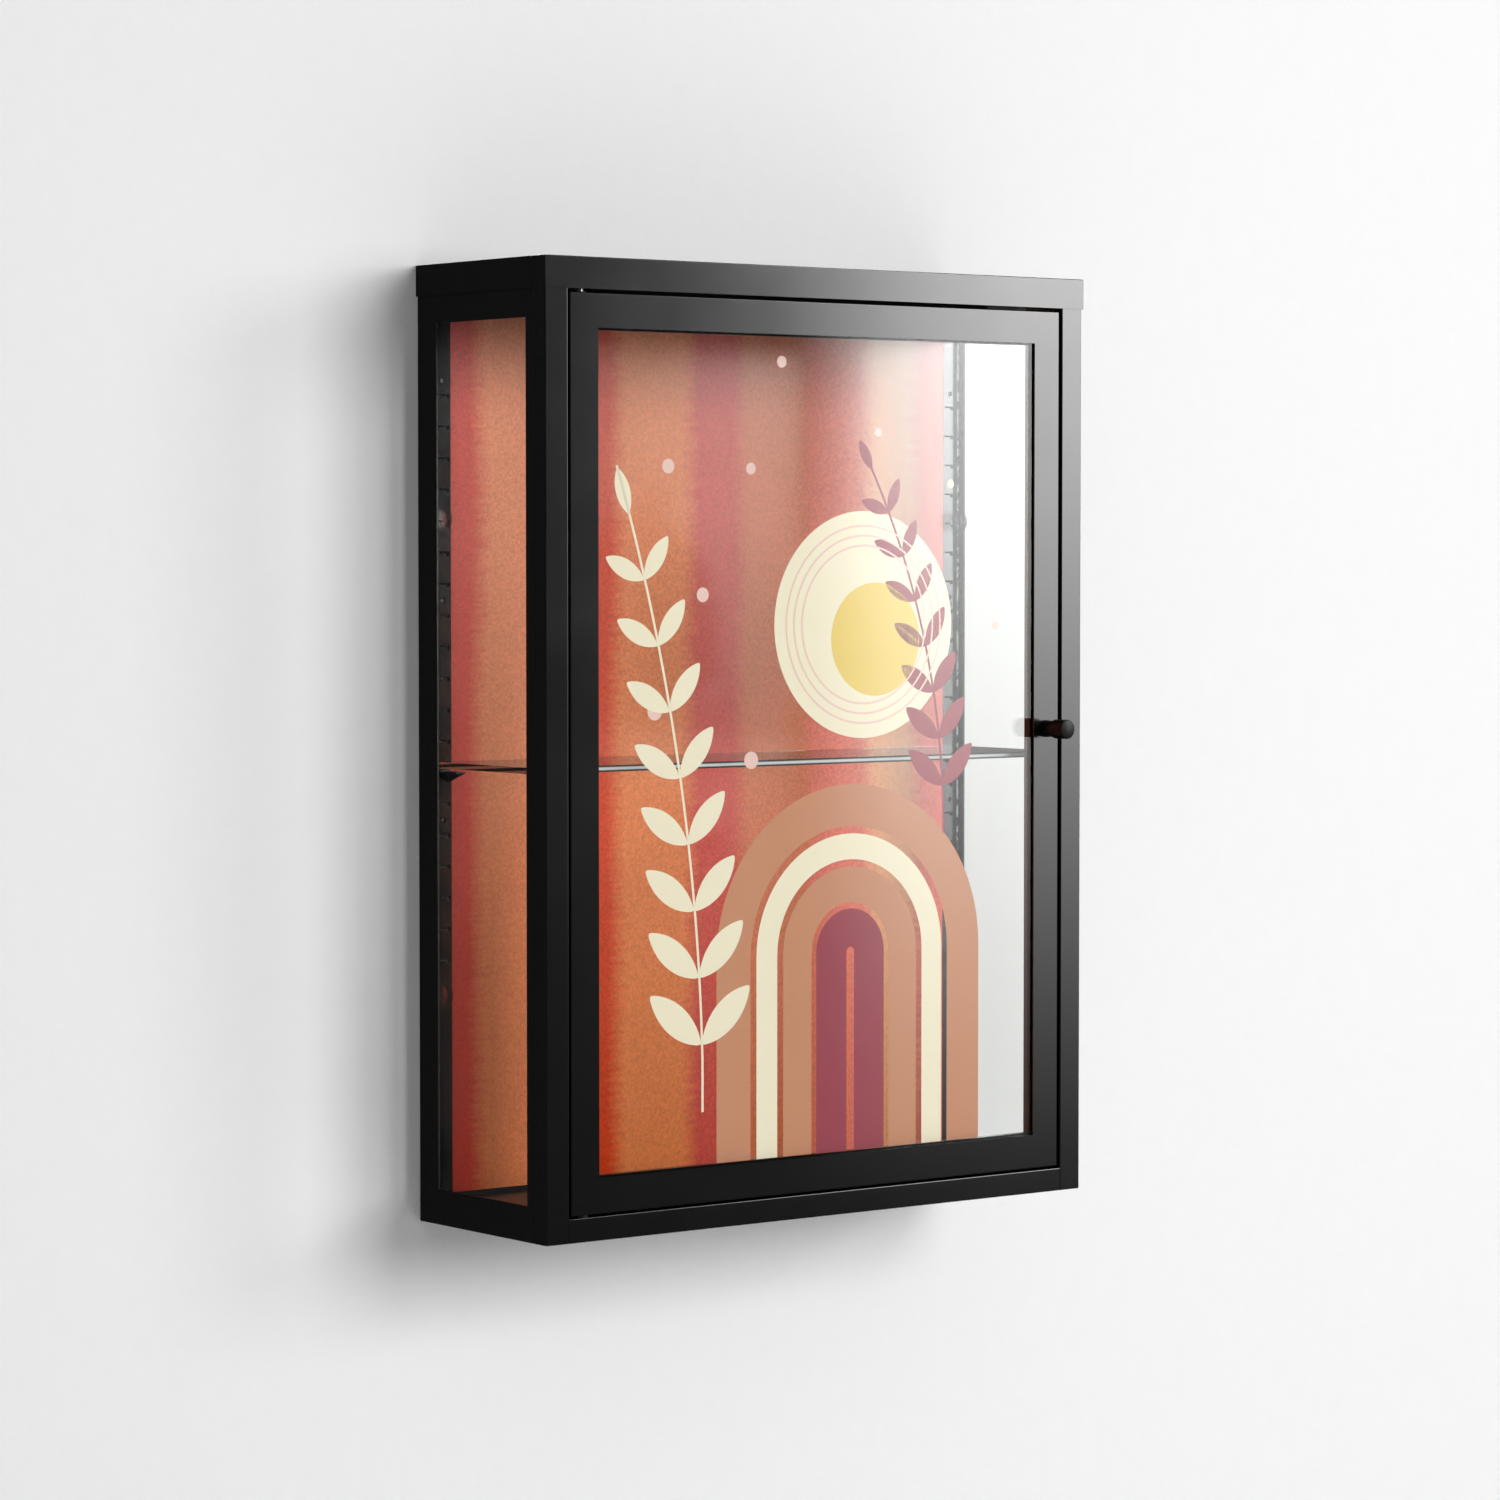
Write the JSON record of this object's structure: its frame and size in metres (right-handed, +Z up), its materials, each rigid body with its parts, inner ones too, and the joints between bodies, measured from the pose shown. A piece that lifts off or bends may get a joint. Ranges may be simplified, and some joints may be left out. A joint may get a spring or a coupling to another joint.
{
  "type": "wall display cabinet",
  "caption": "Wall-hung black sheet-steel display cabinet with glazed sides, a pivoted glazed door with a turned knob, and a glass shelf on slotted standards before a printed back.",
  "frame": {"origin": "on the wall plane, at the centre of the four outer wall screws", "axes": "+X to the right seen from the front, +Y into the wall, +Z up; the door faces -Y"},
  "size_m": [0.5506, 0.2049, 0.764],
  "materials": {
    "black_coat": "satin black powder coat with a fine grain",
    "printed_sheet": "matte print of soft upright bands in reds and oranges",
    "clear_glass": "clear float glass, ground edges",
    "clear_plastic": "clear moulded plastic",
    "black_sealant": "black sealant and rubber",
    "zinc_steel": "zinc plated steel",
    "black_nylon": "black nylon",
    "magnet_ferrite": "dark ground ferrite"
  },
  "bodies": {
    "carcass": {"top_cover": "black_coat", "top_pan": "black_coat", "bottom_pan": "black_coat", "left_side_frame": "black_coat", "right_side_frame": "black_coat", "back_panel": "black_coat", "left_shelf_standard": "black_coat", "right_shelf_standard": "black_coat", "left_rear_bracket": "black_coat", "right_rear_bracket": "black_coat", "left_front_bracket": "black_coat", "right_front_bracket": "black_coat", "printed_panel": "printed_sheet", "left_side_glass": "clear_glass", "right_side_glass": "clear_glass", "glass_shelf": "clear_glass", "left_glass_clips": "clear_plastic", "right_glass_clips": "clear_plastic", "shelf_pads": "clear_plastic", "left_glass_seal": "black_sealant", "right_glass_seal": "black_sealant", "left_edge_strip": "black_sealant", "right_edge_strip": "black_sealant", "setting_blocks": "black_sealant", "cover_posts": "zinc_steel", "cover_screws": "zinc_steel", "wall_spacers": "zinc_steel", "upper_pivot_plate": "zinc_steel", "lower_pivot_plate": "zinc_steel", "upper_pivot_pin": "zinc_steel", "lower_pivot_pin": "zinc_steel", "catch_screws": "zinc_steel", "pivot_washer": "black_nylon", "catch_housing": "black_nylon", "catch_magnet": "magnet_ferrite"},
    "door": {"door_frame": "black_coat", "door_glass": "clear_glass", "door_glass_seal": "black_sealant", "door_bead_left": "black_coat", "door_bead_right": "black_coat", "door_bead_top": "black_coat", "door_bead_bottom": "black_coat", "door_bead_posts": "zinc_steel", "door_bead_screws": "zinc_steel", "door_glass_tabs": "clear_plastic", "upper_pivot_bush": "black_nylon", "lower_pivot_bush": "black_nylon", "knob": "black_coat", "knob_screw": "zinc_steel", "strike_plate": "zinc_steel"}
  },
  "joints": [
    {"name": "door_hinge", "type": "hinge", "parent": "carcass", "child": "door", "pos_m": [-0.2376, -0.171, 0], "axis": [0, 0, -1], "range_deg": [0, 110]}
  ]
}
